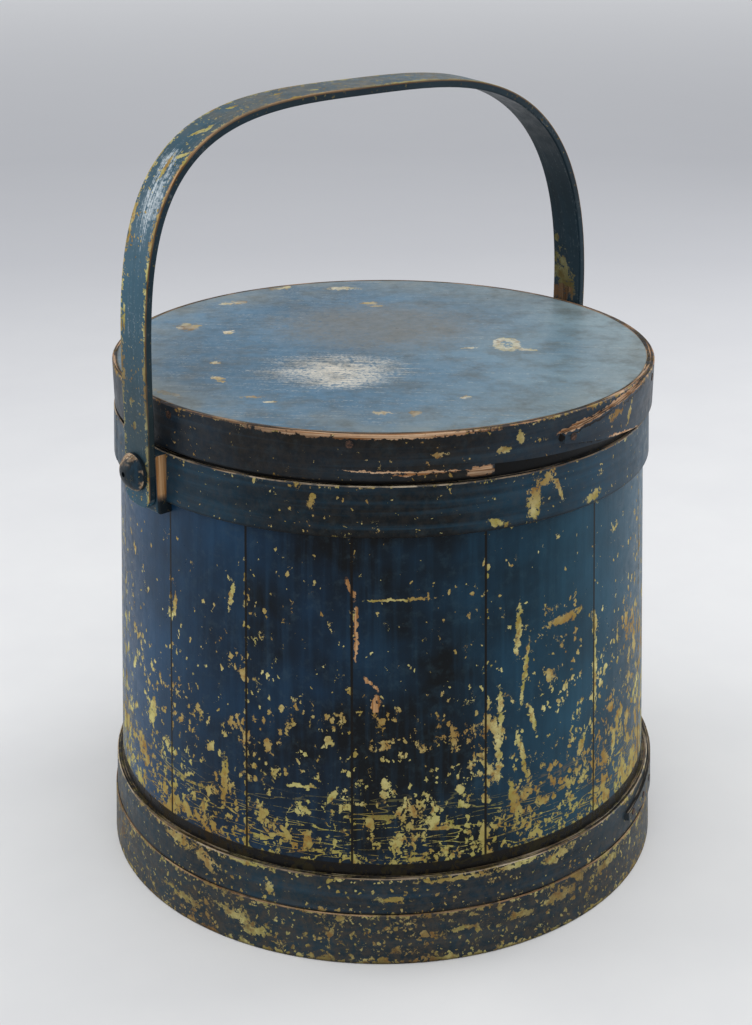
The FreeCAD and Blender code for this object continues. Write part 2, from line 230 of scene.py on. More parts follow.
def flakes(
    tree: Tree, place: Socket, cell: float, density: Socket, growth: float
) -> Socket:
    """Separate flakes lost from a coat, more and larger where the density is higher.

    Args:
        tree: Node tree.
        place: Place in millimetres, already made ragged.
        cell: Spacing of the flakes in millimetres.
        density: Share of the cells that have lost a flake.
        growth: How fast a flake grows with the density.

    Returns:
        One inside a flake and zero outside.
    """
    distance = put(tree, Kind.VORONOI, place, None, 1.0 / cell, voronoi_dimensions="3D")
    chance = put(tree, Kind.SEPARATE, distance.node.outputs["Color"], out="X")
    excess = minus(tree, density, chance)
    size = times(tree, excess, growth)
    size = put(tree, Kind.MATH, size, 0.46, operation="MINIMUM")
    inside = minus(tree, size, distance)
    return ramp(tree, inside, 0.0, 0.045, 0.0, 1.0)


def tatters(tree: Tree, place: Socket, size: float, density: Socket, rest: float) -> Socket:
    """One inside ragged patches of a size in millimetres, where density lifts noise over a rest."""
    torn = clouds(tree, place, size, 5.0, 0.7)
    helped = put(tree, Kind.MATH, density, 0.30, torn, operation="MULTIPLY_ADD")
    return ramp(tree, helped, rest, rest + 0.014, 0.0, 1.0)


class Grain(Enum):
    """Which way the grain of a piece runs."""

    UP = "up"
    ROUND = "round"
    ACROSS = "across"
    ARCH = "arch"


class OldPaint:
    """Old oil paint, brushed on wood over a mustard undercoat, with its wear.

    Terms are added one by one and the shader is made last.
    """

    ARC = 172.0  # mean radius in millimetres, to turn degrees into millimetres

    def __init__(self, name: str, coats: Coats, grain: Grain, chip: float = 9.0) -> None:
        """Start a material, with the spacing of its larger flakes in millimetres."""
        self.material, tree = fresh(name)
        self.tree = tree
        self.coats = coats
        self.grain = grain
        self.chip = chip
        coords = put(tree, Kind.COORDS, out="Object")
        self.normal = coords.node.outputs["Normal"]
        spin = (0.0, 0.0, math.radians(WORN_SIDE))
        turned = put(tree, Kind.MAPPING, coords, None, spin, (1.0 / MM, 1.0 / MM, 1.0 / MM))
        self.place = turned
        axes = put(tree, Kind.SEPARATE, turned)
        self.right, self.away, self.up = axes.node.outputs
        towards = times(tree, self.away, -1.0)
        angle = put(tree, Kind.MATH, self.right, towards, operation="ARCTAN2")
        self.angle = put(tree, Kind.MATH, angle, operation="DEGREES")
        self.arc = times(tree, angle, self.ARC)
        flat = put(tree, Kind.COMBINE, self.right, self.away, 0.0)
        self.radius = put(tree, Kind.VECTOR, flat, operation="LENGTH", out="Value")
        self.skin = flat if grain is Grain.ACROSS else put(tree, Kind.COMBINE, self.arc, self.up, 0.0)
        shake = put(tree, Kind.NOISE, turned, None, 1.0 / 4.5, 3.0, 0.62, out="Color")
        shake = put(tree, Kind.VECTOR, shake, (0.5, 0.5, 0.5), operation="SUBTRACT")
        big = put(tree, Kind.VECTOR, shake, named={"Scale": 7.0}, operation="SCALE")
        small = put(tree, Kind.VECTOR, shake, named={"Scale": 5.0}, operation="SCALE")
        drawn = (1.0, 1.0, 0.62) if grain is Grain.UP else (1.0, 1.0, 1.0)
        self.ragged = put(tree, Kind.VECTOR, turned, big, operation="ADD")
        self.ragged = put(tree, Kind.VECTOR, self.ragged, drawn, operation="MULTIPLY")
        self.ragged_skin = put(tree, Kind.VECTOR, self.skin, small, operation="ADD")
        self.strokes = self._strokes(4.5, 0.03, 3.0)
        self.fibres = self._strokes(0.9, 0.02, 1.0)
        self.patches = clouds(tree, turned, 46.0, 3.0, 0.6)
        self.clusters = clouds(tree, turned, 13.0, 3.0, 0.65)
        self.crumble = clouds(tree, turned, 5.0, 4.0, 0.75)
        self.density: Socket = self._scaled(self.patches, -0.5, 0.55)
        self.gloss = 0.15
        self.hold = 0.715
        self.flecks = 0.07
        self.haze = 0.22
        self.brush = 0.26
        self.mellow: Value = 1.0
        self.grubby: Value = 0.0
        self.wood: Optional[Socket] = None
        # Mask of dirt, dark joints and painted shade and shadow, made near-black.
        self.soot_and_shade: Optional[Socket] = None
        self.scuff: Optional[Socket] = None
        self.opened: Optional[Socket] = None

    def use_skin(self, along: Socket, across: Socket) -> None:
        """Measure the surface in millimetres along and across the piece."""
        shift = put(self.tree, Kind.VECTOR, self.ragged_skin, self.skin, operation="SUBTRACT")
        self.skin = put(self.tree, Kind.COMBINE, along, across, 0.0)
        self.ragged_skin = put(self.tree, Kind.VECTOR, self.skin, shift, operation="ADD")

    def _strokes(self, width: float, stretch: float, detail: float) -> Socket:
        """Noise of a width in millimetres, drawn out along the grain."""
        tree = self.tree
        if self.grain is Grain.UP:
            scale = (1.0 / width, 1.0 / width, stretch / width)
            source = self.place
        elif self.grain is Grain.ROUND:
            scale = (stretch / width, 1.0 / width, 1.0 / width)
            source = put(tree, Kind.COMBINE, self.arc, self.up, self.radius)
        elif self.grain is Grain.ARCH:
            scale = (stretch / width, 1.0 / width, stretch / width)
            source = put(tree, Kind.MAPPING, self.place, None, (0.0, 0.0, math.radians(-WORN_SIDE)))
        else:
            scale = (stretch / width, 1.0 / width, 1.0 / width)
            source = put(tree, Kind.MAPPING, self.place, None, (0.0, 0.0, math.radians(6.0)))
        drawn = put(tree, Kind.MAPPING, source, None, None, scale)
        return clouds(tree, drawn, 1.0, detail, 0.55)

    def _scaled(self, value: Socket, shift: float, by: float) -> Socket:
        """Value plus a shift, times a factor."""
        moved = plus(self.tree, value, shift)
        return times(self.tree, moved, by)

    def _joined(self, old: Optional[Socket], new: Socket) -> Socket:
        """The larger of two masks, or the new one alone."""
        if old is None:
            return new
        return larger(self.tree, old, new)

    def thin(self, amount: Value, by: float = 1.0) -> None:
        """Add a mask or number, times a weight, to the share of lost flakes."""
        term = times(self.tree, amount, by)
        self.density = plus(self.tree, self.density, term)

    def open_to_undercoat(
        self, marks: Sequence[Mark], reach: float, loose: float = 0.9, only: Value = 1.0
    ) -> None:
        """Lay the undercoat bare at marks, of a broken outline, on the face of a mask."""
        found = times(self.tree, self._within(marks, reach, loose), only)
        self.opened = self._joined(self.opened, found)

    def open_to_wood(
        self, marks: Sequence[Mark], reach: float, loose: float = 0.7, only: Value = 1.0
    ) -> None:
        """Lay the wood bare at marks, of a broken outline, on the face of a mask."""
        self.bare(times(self.tree, self._within(marks, reach, loose), only))

    def darken(self, mask: Socket) -> None:
        """Add a place painted dark: dirt, dark joints, and in places painted shade and shadow."""
        self.soot_and_shade = self._joined(self.soot_and_shade, mask)

    def blacken(self, marks: Sequence[Mark], reach: float) -> None:
        """Add small dark marks, such as painted shade in a hole and painted shadow lines, with the
        millimetres of one unit along.
        """
        self.darken(self._within(marks, reach, 0.2))

    def bare(self, mask: Socket) -> None:
        """Add a place where the wood shows."""
        self.wood = self._joined(self.wood, mask)

    def rub(self, mask: Socket) -> None:
        """Add a place that is rubbed pale."""
        self.scuff = self._joined(self.scuff, mask)

    def _within(self, marks: Sequence[Mark], reach: float, loose: float) -> Socket:
        """Broken-edged mask of some marks."""
        tree = self.tree
        nearest = nearest_mark(tree, self.ragged_skin, marks, reach)
        broken = self._scaled(self.crumble, -0.5, loose * 1.6)
        level = minus(tree, nearest, broken)
        return ramp(tree, level, 0.88, 1.08, 1.0, 0.0)

    def edge(self, value: Socket, at: float, inward: float, depth: float, strength: float) -> Socket:
        """Add wear that fades over a depth, inward (1 or -1) from an edge at a coordinate."""
        term = ramp(self.tree, value, at, at + inward * depth, strength, 0.0)
        self.density = plus(self.tree, self.density, term)
        return term

    def shade(self, darkness: Value, teal: Value, roughness: float = 0.42) -> bpy.types.Material:
        """Make the shader from the terms.

        Args:
            darkness: How much darker the top coat is, a number or a mask from zero to one; on the staves
                and hoops it holds painted shade in the middle of the worn side.
            teal: How far the top coat has yellowed, a number or a mask from zero to one.
            roughness: Roughness of the top coat.

        Returns:
            The finished material.
        """
        tree = self.tree
        coats = self.coats
        # Top coat: brushed, patchy and darkened by handling, and by the darkness given, which holds
        # painted shade on the staves and hoops.
        tone = clouds(tree, self.place, 85.0, 4.0, 0.6)
        fine = clouds(tree, self.place, 7.0, 4.0, 0.7)
        deep = ramp(tree, tone, 0.30, 0.72, -0.28, 0.30)
        deep = put(tree, Kind.MATH, deep, darkness, operation="ADD", use_clamp=True)
        colour = mix(tree, deep, coats.top, coats.top_dark)
        streak = ramp(tree, self.strokes, 0.48, 0.76, 0.0, self.brush)
        colour = mix(tree, streak, colour, coats.top_pale)
        shadow = ramp(tree, self.strokes, 0.26, 0.46, self.brush * 0.85, 0.0)
        colour = mix(tree, shadow, colour, coats.top_dark)
        haze = ramp(tree, fine, 0.52, 0.80, 0.0, self.haze)
        colour = mix(tree, haze, colour, "#40525a")
        colour = put(tree, Kind.MIX, teal, colour, linear("#1c4a55"), blend_type="COLOR")
        if self.scuff is not None:
            speckle = clouds(tree, self.place, 1.9, 3.0, 0.7)
            speckle = plus(tree, speckle, self.fibres)
            speckle = times(tree, speckle, 0.5)
            speckle = put(tree, Kind.MATH, self.scuff, 0.26, speckle, operation="MULTIPLY_ADD")
            worn = ramp(tree, speckle, 0.58, 0.80, 0.0, 0.95)
            colour = mix(tree, worn, colour, coats.chalk)
        # Undercoat: mustard, paler where rubbed and browner where it is thin.
        under = ramp(tree, self.clusters, 0.38, 0.72, 0.0, 1.0)
        under = times(tree, under, self.mellow)
        under = mix(tree, under, coats.under, coats.under_pale)
        brown = ramp(tree, self.patches, 0.42, 0.66, 0.0, 0.75)
        under = mix(tree, brown, under, coats.under_brown)
        speck = ramp(tree, fine, 0.50, 0.64, 0.0, 0.75)
        under = mix(tree, speck, under, coats.under_brown)
        # Wood: orange-brown, with paler and dirtier fibres.
        fibre = ramp(tree, self.fibres, 0.35, 0.65, 0.0, 1.0)
        timber = mix(tree, fibre, coats.wood, coats.wood_pale)
        dirt = ramp(tree, self.strokes, 0.30, 0.50, 0.7, 0.0)
        timber = mix(tree, dirt, timber, coats.grime_and_shade)
        # Where each coat is lost.
        large = flakes(tree, self.ragged, self.chip, self.density, 1.05)
        flecked = plus(tree, self.density, self.flecks)
        small = flakes(tree, self.ragged, self.chip * 0.42, flecked, 1.3)
        lost = larger(tree, large, small)
        torn = tatters(tree, self.ragged, self.chip * 0.95, self.density, self.hold)
        lost = larger(tree, lost, torn)
        if self.opened is not None:
            lost = larger(tree, lost, self.opened)
        deeper = plus(tree, self.density, -0.62)
        through = flakes(tree, self.ragged, self.chip * 0.8, deeper, 1.1)
        if self.wood is not None:
            through = larger(tree, through, self.wood)
        colour = mix(tree, lost, colour, under)
        colour = mix(tree, through, colour, timber)
        smear = ramp(tree, self.crumble, 0.40, 0.62, 0.0, 1.0)
        smear = times(tree, smear, self.grubby)
        colour = mix(tree, smear, colour, "#4d4132")
        # Dirt, dark joints and painted shade and shadow, all mixed towards near-black.
        if self.soot_and_shade is not None:
            soot_and_shade_share = ramp(tree, fine, 0.30, 0.62, 0.99, 0.94)
            soot_and_shade_share = times(tree, soot_and_shade_share, self.soot_and_shade)
            colour = mix(tree, soot_and_shade_share, colour, coats.grime_and_shade)
        # Relief: the thickness of the lost coats, brush strokes and wood fibres.
        gone = plus(tree, lost, through)
        relief = times(tree, gone, -0.16)
        bristle = times(tree, self.strokes, 0.10)
        relief = plus(tree, relief, bristle)
        grit = times(tree, fine, 0.12)
        relief = plus(tree, relief, grit)
        bump = bumped(tree, relief, 0.75, 1.0)
        dull = larger(tree, lost, through)
        rough = ramp(tree, dull, 0.0, 1.0, roughness, 0.68)
        vary = ramp(tree, fine, 0.3, 0.7, -0.09, 0.12)
        rough = put(tree, Kind.MATH, rough, vary, operation="ADD", use_clamp=True)
        shader = put(
            tree,
            Kind.SHADER,
            named={
                "Base Color": colour,
                "Roughness": rough,
                "Normal": bump,
                "Metallic": 0.0,
                "IOR": 1.48,
                "Specular IOR Level": self.gloss,
            },
        )
        put(tree, Kind.OUTPUT, shader)
        return self.material


def dress(name: str, material: bpy.types.Material) -> None:
    """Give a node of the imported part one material."""
    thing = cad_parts[name]
    thing.data.materials.clear()
    thing.data.materials.append(material)


def base_colour(tree: Tree) -> Socket:
    """Base Color input of the one shader of a tree."""
    return next(n for n in tree.nodes if n.bl_idname == Kind.SHADER.value).inputs["Base Color"]


DEGREE = math.radians(1.0) * OldPaint.ARC  # millimetres round the pail for one degree


# ---- Plain finishes ----
@dataclass(frozen=True)
class RawPine:
    """Bare pine, sawn and planed, browned with age: warm, dry and dull to the eye."""

    name: str = "bare_pine_planed"
    pale: str = "#b08a5e"
    dark: str = "#5c4028"
    grain_width: float = 1.6  # millimetres

    def material(self) -> bpy.types.Material:
        """Build the material."""
        material, tree = fresh(self.name)
        coords = put(tree, Kind.COORDS, out="Object")
        place = put(tree, Kind.MAPPING, coords, None, None, (1.0 / MM,) * 3)
        width = self.grain_width
        drawn = put(tree, Kind.MAPPING, place, None, None, (0.04 / width, 1 / width, 1 / width))
        grain = clouds(tree, drawn, 1.0, 4.0, 0.6)
        cloud = clouds(tree, place, 40.0, 4.0, 0.6)
        share = ramp(tree, grain, 0.3, 0.7, 0.0, 1.0)
        colour = mix(tree, share, self.dark, self.pale)
        stain = ramp(tree, cloud, 0.4, 0.7, 0.0, 0.6)
        colour = mix(tree, stain, colour, self.dark)
        bump = bumped(tree, grain, 0.4, 0.3)
        shader = put(
            tree,
            Kind.SHADER,
            named={"Base Color": colour, "Roughness": 0.8, "Normal": bump, "IOR": 1.5},
        )
        put(tree, Kind.OUTPUT, shader)
        return material


@dataclass(frozen=True)
class RustyIron:
    """Cut iron tacks, forged and rusted: almost black, with a dull brown bloom."""

    name: str = "cut_iron_rusted"
    metal: str = "#2b2623"
    rust: str = "#5a3a26"

    def material(self) -> bpy.types.Material:
        """Build the material."""
        material, tree = fresh(self.name)
        coords = put(tree, Kind.COORDS, out="Object")
        cloud = put(tree, Kind.NOISE, coords, None, 900.0, 4.0, 0.6)
        share = ramp(tree, cloud, 0.4, 0.65, 0.0, 1.0)
        colour = mix(tree, share, self.metal, self.rust)
        metallic = ramp(tree, share, 0.0, 1.0, 0.7, 0.1)
        bump = bumped(tree, cloud, 0.6, 0.2)
        shader = put(
            tree,
            Kind.SHADER,
            named={
                "Base Color": colour,
                "Metallic": metallic,
                "Roughness": 0.65,
                "Normal": bump,
            },
        )
        put(tree, Kind.OUTPUT, shader)
        return material


# ---- Body ----
@dataclass
class StavedBody:
    """Fifteen staves standing on edge, painted outside."""

    count: int = 15
    hoop_shadow: float = 7.5  # millimetres of dirt above the lower hoop
    coats: Coats = Coats(top="#1e4769", top_dark="#080c10", under="#988f48", under_pale="#d4cc90")
    scratches: Tuple[Mark, ...] = (
        Mark(-6.1, 243.0, 7.5, 1.3, -68.0), Mark(-5.0, 217.0, 20.0, 1.3, 90.0),
        Mark(-2.0, 184.0, 6.0, 1.2, -45.0), Mark(-1.2, 172.0, 7.0, 2.4, 84.0),
    )
    openings: Tuple[Mark, ...] = (
        Mark(2.4, 236.5, 19.0, 0.9, 1.0), Mark(9.0, 238.0, 4.0, 0.5, 80.0),
        Mark(39.5, 207.6, 14.5, 3.2, 4.0), Mark(27.7, 210.0, 17.0, 2.2, 86.0),
        Mark(29.2, 182.0, 20.0, 1.5, 82.0), Mark(31.0, 150.0, 9.0, 1.7, 100.0),
        Mark(28.6, 127.0, 17.0, 1.9, 103.0), Mark(26.8, 97.0, 16.0, 3.0, 100.0),
        Mark(23.6, 160.0, 15.0, 2.3, 90.0), Mark(23.2, 128.0, 17.0, 1.8, 88.0),
        Mark(48.6, 160.0, 27.0, 1.9, 90.0), Mark(-75.7, 230.0, 6.0, 1.8, 90.0),
        Mark(-55.4, 127.0, 11.0, 4.5, 75.0), Mark(-46.5, 210.0, 9.0, 1.9, 86.0),
        Mark(-30.9, 228.0, 10.0, 1.5, 80.0), Mark(-32.9, 106.0, 17.0, 2.6, 88.0),
        Mark(-15.3, 115.0, 9.0, 1.2, 2.0), Mark(-9.8, 110.0, 7.0, 1.8, 60.0),
        Mark(58.0, 118.0, 10.0, 2.4, 88.0), Mark(71.0, 130.0, 24.0, 2.6, 40.0),
        Mark(44.0, 118.0, 8.0, 3.0, 60.0),
    )

    def seams(self, name: str) -> Tuple[float, float]:
        """Lower and higher edge of a stave, in degrees round from the worn side."""
        points = [v.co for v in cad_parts[name].data.vertices]
        middle = sum((p.xy for p in points), Vector((0.0, 0.0)))
        aim = math.atan2(middle.y, middle.x)
        spread = [(math.atan2(p.y, p.x) - aim + math.pi) % math.tau - math.pi for p in points]
        centre = math.degrees(aim) + 90.0 + WORN_SIDE
        centre = (centre + 180.0) % 360.0 - 180.0
        return centre + math.degrees(min(spread)), centre + math.degrees(max(spread))

    def finish(self, name: str, upper: float, lower: float) -> bpy.types.Material:
        """Paint of one stave, between two hoops.

        Upper is the foot of the upper hoop and lower the top of the lower one, in
        millimetres.
        """
        first, last = self.seams(name)
        centre = (first + last) / 2
        paint = OldPaint("oil_paint_brushed_on_" + name, self.coats, Grain.UP, 7.6)
        tree = paint.tree
        # Fewer flakes high up, crowded ones near the lower hoop.
        paint.thin(ramp(tree, paint.up, 60.0, 135.0, 0.20, 0.0))
        paint.thin(ramp(tree, paint.up, 150.0, 280.0, 0.27, 0.04))
        crowd = ramp(tree, paint.clusters, 0.42, 0.62, -0.16, 0.36)
        paint.mellow = ramp(tree, paint.up, 70.0, 150.0, 0.3, 1.0)
        side = put(tree, Kind.MATH, paint.angle, operation="ABSOLUTE")
        side = band(tree, side, 66.0, 100.0, 12.0)
        paint.thin(times(tree, side, 0.10))
        low = ramp(tree, paint.up, 90.0, 230.0, 1.0, 0.3)
        paint.thin(times(tree, crowd, low))
        paint.thin(0.05 if centre > 25.0 else 0.0)
        for seam in (first, last):
            gap = plus(tree, paint.angle, -seam)
            gap = put(tree, Kind.MATH, gap, operation="ABSOLUTE")
            gap = times(tree, gap, DEGREE)
            paint.thin(ramp(tree, gap, 0.3, 3.0, 0.22, 0.0))
            paint.darken(ramp(tree, gap, 0.55, 0.95, 1.0, 0.0))
        near = [m for m in self.openings if first - 6.0 < m.along < last + 6.0]
        if near:
            paint.open_to_undercoat(near, DEGREE, 1.6)
        near = [m for m in self.scratches if first - 6.0 < m.along < last + 6.0]
        if near:
            paint.open_to_wood(near, DEGREE)
        self.scribbles(paint)
        paint.darken(band(tree, paint.up, lower - 20.0, lower + self.hoop_shadow, 0.7))
        # Painted shadow: a thin dark line on the staves just under the upper hoop; the band runs on up,
        # hidden by the hoop.
        paint.darken(band(tree, paint.up, upper - 0.7, upper + 60.0, 0.5))
        inside = times(tree, paint.up, STAVE_SLOPE)
        inside = plus(tree, inside, FOOT_RADIUS)
        inside = minus(tree, inside, paint.radius)
        paint.bare(ramp(tree, inside, *BARE_DEPTH, 0.0, 1.0))
        # Painted shade: darker in the middle of the worn side; the paint is greener to the right of it.
        left = ramp(tree, paint.angle, -62.0, -16.0, 0.0, 0.52)
        right = ramp(tree, paint.angle, 12.0, 44.0, 0.52, 0.06)
        dark = put(tree, Kind.MATH, left, right, operation="MINIMUM")
        uneven = 0.36 + 0.07 * math.sin(3.7 * centre)
        dark = plus(tree, dark, uneven)
        greener = ramp(tree, paint.angle, -12.0, 40.0, 0.0, 0.5)
        bluer = ramp(tree, paint.angle, 110.0, 165.0, 0.5, 0.0)
        teal = put(tree, Kind.MATH, greener, bluer, operation="MINIMUM")
        paint.haze = 0.3
        paint.brush = 0.15
        return paint.shade(dark, teal, 0.36)

    def scribbles(self, paint: OldPaint) -> None:
        """Add fine crossing scratches low on the staves."""
        tree = paint.tree
        total: Optional[Socket] = None
        for turn, shift in ((9.0, 0.0), (-14.0, 70.0)):
            drawn = put(
                tree,
                Kind.MAPPING,
                paint.skin,
                (shift, 0.0, shift),
                (0.0, 0.0, math.radians(turn)),
                (1 / 55.0, 1 / 8.0, 1.0),
            )
            wander = clouds(tree, drawn, 1.0, 1.0, 0.5)
            line = put(tree, Kind.MATH, wander, 0.5, 0.009, operation="COMPARE")
            total = line if total is None else larger(tree, total, line)
        where = band(tree, paint.up, 66.0, 92.0, 22.0)
        broken = ramp(tree, paint.crumble, 0.44, 0.50, 0.0, 1.0)
        total = times(tree, total, where)
        total = times(tree, total, broken)
        paint.opened = paint._joined(paint.opened, total)

    def build(self) -> int:
        """Dress every stave and return how many there are."""
        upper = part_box("upper_hoop")[0].z / MM
        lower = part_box("lower_hoop")[1].z / MM
        for index in range(self.count):
            name = "stave_%02d" % (index + 1)
            dress(name, self.finish(name, upper, lower))
        return self.count


@dataclass
class Bottom:
    """Two bottom boards, bare inside and underneath."""

    def build(self) -> int:
        """Dress both boards and return how many there are."""
        dress("bottom_board_front", RawPine("bare_pine_planed_front").material())
        dress("bottom_board_rear", RawPine("bare_pine_planed_rear", grain_width=2.0).material())
        return 2


# ---- Hoops ----
HOOP_COATS = Coats(top="#21435e", wood="#6b5139", wood_pale="#b9ab94")
LOWER_COATS = Coats(top="#29404f", under_pale="#cdc38a", wood="#6b5139", wood_pale="#b9ab94")
FOOT_COATS = Coats(
    top="#2a3b47",
    top_dark="#14181a",
    top_pale="#46545c",
    under="#8f8548",
    under_pale="#c6bd80",
    under_brown="#74502a",
    wood="#6a4a2f",
    wood_pale="#a98c6a",
)
LID_HOOP_COATS = Coats(
    top="#22374a",
    top_dark="#14120f",
    top_pale="#3c5566",
    under="#8f7f43",
    under_pale="#cbbd8b",
    under_brown="#7c5323",
    wood="#8a5a30",
    wood_pale="#cfae8d",
)


@dataclass
class BentHoop:
    """A thin bent hoop, painted, and worn along both edges."""

    node: str
    top_wear: float = 0.9
    foot_wear: float = 0.3
    thinness: float = 0.08
    darkness: float = 0.7
    teal: float = 0.3
    # Share of painted shade added in the middle of the worn side.
    middle: float = 0.0
    grubby: float = 0.0
    corner: float = 0.40  # the lower, the more of the top corner is bare
    openings: Tuple[Mark, ...] = ()
    wood: Tuple[Mark, ...] = ()
    holes_and_shadow_lines: Tuple[Mark, ...] = ()
    coats: Coats = Coats()

    def ledge_rub(self, paint: OldPaint) -> Socket:
        """Streaks rubbed round the top edge of the hoop."""
        drawn = put(
            paint.tree,
            Kind.MAPPING,
            put(paint.tree, Kind.COMBINE, paint.arc, paint.radius, 0.0),
            None,
            None,
            (1 / 38.0, 1 / 1.3, 1.0),
        )
        return clouds(paint.tree, drawn, 1.0, 3.0, 0.6)

    def build(self) -> bpy.types.Material:
        """Dress the hoop and return its material."""
        low, high = (corner.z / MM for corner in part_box(self.node))
        paint = OldPaint("oil_paint_brushed_on_ash_" + self.node, self.coats, Grain.ROUND, 6.5)
        tree = paint.tree
        paint.thin(1.0, self.thinness)
        paint.edge(paint.up, high, -1.0, 4.0, self.top_wear)
        paint.edge(paint.up, low, 1.0, 5.0, self.foot_wear)
        tip = put(tree, Kind.SEPARATE, paint.normal, out="Z")
        corner = band(tree, tip, 0.35, 0.93, 0.08)
        patchy = ramp(tree, paint.clusters, self.corner, self.corner + 0.12, 0.15, 1.0)
        paint.bare(times(tree, corner, patchy))
        ledge = ramp(tree, tip, 0.93, 0.97, 0.0, 1.0)
        rubbing = self.ledge_rub(paint)
        rubbed = ramp(tree, rubbing, 0.50, 0.58, 0.0, 1.0)
        paint.bare(times(tree, ledge, rubbed))
        dirty = ramp(tree, rubbing, 0.48, 0.56, 0.92, 0.25)
        paint.darken(times(tree, ledge, dirty))
        foot = ramp(tree, paint.up, low + 0.4, low + 2.2, 0.75, 0.0)
        paint.darken(foot)
        if self.openings:
            paint.open_to_undercoat(self.openings, DEGREE, 2.4)
        if self.wood:
            paint.open_to_wood(self.wood, DEGREE, 0.5)
        if self.holes_and_shadow_lines:
            paint.blacken(self.holes_and_shadow_lines, DEGREE)
        # Painted shade: darker in the middle of the worn side, on top of the hoop's own darkness.
        middle = band(tree, paint.angle, -18.0, 16.0, 30.0)
        dark = put(tree, Kind.MATH, middle, self.middle, self.darkness, operation="MULTIPLY_ADD")
        paint.grubby = self.grubby
        material = paint.shade(dark, self.teal)
        dress(self.node, material)
        return material


HOOPS = (
    BentHoop(
        "foot_hoop",
        top_wear=0.35,
        foot_wear=0.45,
        thinness=0.37,
        darkness=0.6,
        teal=0.2,
        grubby=0.5,
        openings=(
            Mark(-43.3, 15.0, 14.0, 3.0, -8.0), Mark(-29.1, 18.5, 13.0, 3.4, -12.0),
            Mark(-24.6, 12.0, 9.0, 3.2, 10.0), Mark(14.6, 21.0, 10.0, 2.0, 5.0),
            Mark(26.9, 22.0, 8.0, 2.6, -10.0), Mark(36.3, 24.0, 13.0, 3.4, 4.0),
            Mark(51.3, 27.0, 12.0, 3.0, 8.0),
        ),
        coats=FOOT_COATS,
    ),
    BentHoop(
        "lower_hoop",
        top_wear=0.45,
        foot_wear=0.1,
        thinness=0.24,
        darkness=0.6,
        teal=0.2,
        middle=0.15,
        grubby=0.35,
        openings=(
            Mark(-43.5, 54.0, 12.0, 4.2, -6.0), Mark(-36.7, 50.0, 10.0, 4.0, -30.0),
            Mark(-27.0, 57.5, 12.0, 1.6), Mark(-22.0, 45.0, 2.2, 6.0, 20.0),
            Mark(2.4, 44.5, 8.0, 2.0), Mark(27.1, 56.5, 16.0, 2.0, 2.0),
            Mark(36.7, 52.5, 12.0, 3.4, 10.0), Mark(14.0, 55.5, 20.0, 1.4),
        ),
        coats=LOWER_COATS,
    ),
    BentHoop(
        "upper_hoop",
        top_wear=0.22,
        foot_wear=0.1,
        thinness=0.17,
        darkness=0.48,
        teal=0.3,
        middle=0.5,
        grubby=0.15,
        coats=HOOP_COATS,
        openings=(
            Mark(30.5, 287.0, 12.0, 4.4, 86.0), Mark(33.2, 299.5, 7.0, 3.0, 35.0),
            Mark(36.4, 292.0, 8.0, 1.6, -62.0), Mark(-13.1, 297.0, 4.0, 2.0, 70.0),
            Mark(22.3, 279.5, 5.0, 2.4, -20.0), Mark(46.5, 280.5, 7.0, 2.4, 12.0),
        ),
    ),
    BentHoop(
        "lid_hoop",
        top_wear=0.5,
        foot_wear=0.15,
        thinness=0.12,
        darkness=0.5,
        teal=0.1,
        middle=0.5,
        grubby=0.15,
        corner=0.49,
        coats=LID_HOOP_COATS,
        openings=(
            Mark(52.0, 326.0, 9.0, 3.0, 10.0), Mark(58.0, 322.0, 7.0, 2.0, 70.0),
            Mark(23.7, 321.6, 4.5, 1.6), Mark(10.8, 322.9, 4.0, 1.2, 10.0),
            Mark(31.4, 323.7, 4.0, 1.6), Mark(27.0, 328.0, 3.0, 3.5),
        ),
        wood=(
            Mark(-3.0, 335.0, 76.0, 2.2), Mark(18.9, 311.2, 9.5, 3.6, 4.0),
            Mark(41.8, 327.8, 19.5, 1.2, 8.0), Mark(56.8, 333.2, 27.5, 1.2, 6.0),
            Mark(57.0, 310.6, 22.0, 1.5, -8.0), Mark(5.0, 313.6, 40.0, 0.6, -1.0),
            Mark(6.0, 312.2, 12.0, 1.0),
        ),
        # A hole painted as shade, and three painted shadow lines along the edges of the lapped end.
        holes_and_shadow_lines=(
            Mark(36.4, 322.0, 1.8, 2.6), Mark(45.0, 326.6, 24.0, 0.7, 8.0),
            Mark(61.0, 331.6, 22.0, 0.7, 6.0), Mark(50.0, 312.2, 34.0, 0.6, -8.0),
        ),
    ),
)


